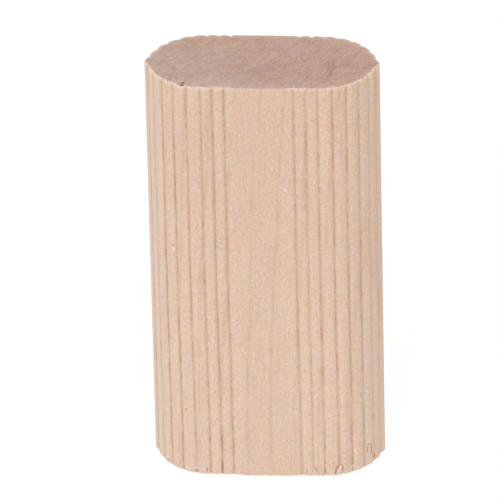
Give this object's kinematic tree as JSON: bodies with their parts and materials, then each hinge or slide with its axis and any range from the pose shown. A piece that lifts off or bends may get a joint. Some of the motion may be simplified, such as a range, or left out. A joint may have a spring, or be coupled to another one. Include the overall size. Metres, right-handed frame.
{
  "type": "loose tenon",
  "caption": "Slot-shaped wooden loose tenon with plain cheeks, reeded corners and edges, and square sawn ends, glued into two facing mortises to join boards.",
  "frame": {"origin": "centre of the end that the tenon stands on", "axes": "+Z along the grain and the length, +X across the width, +Y through the thickness"},
  "size_m": [0.0222, 0.0096, 0.0444],
  "materials": {
    "beech": "bare straight-grained wood as it leaves the moulder, with sawn end grain"
  },
  "bodies": {
    "root": {"tenon": "beech"}
  },
  "joints": []
}
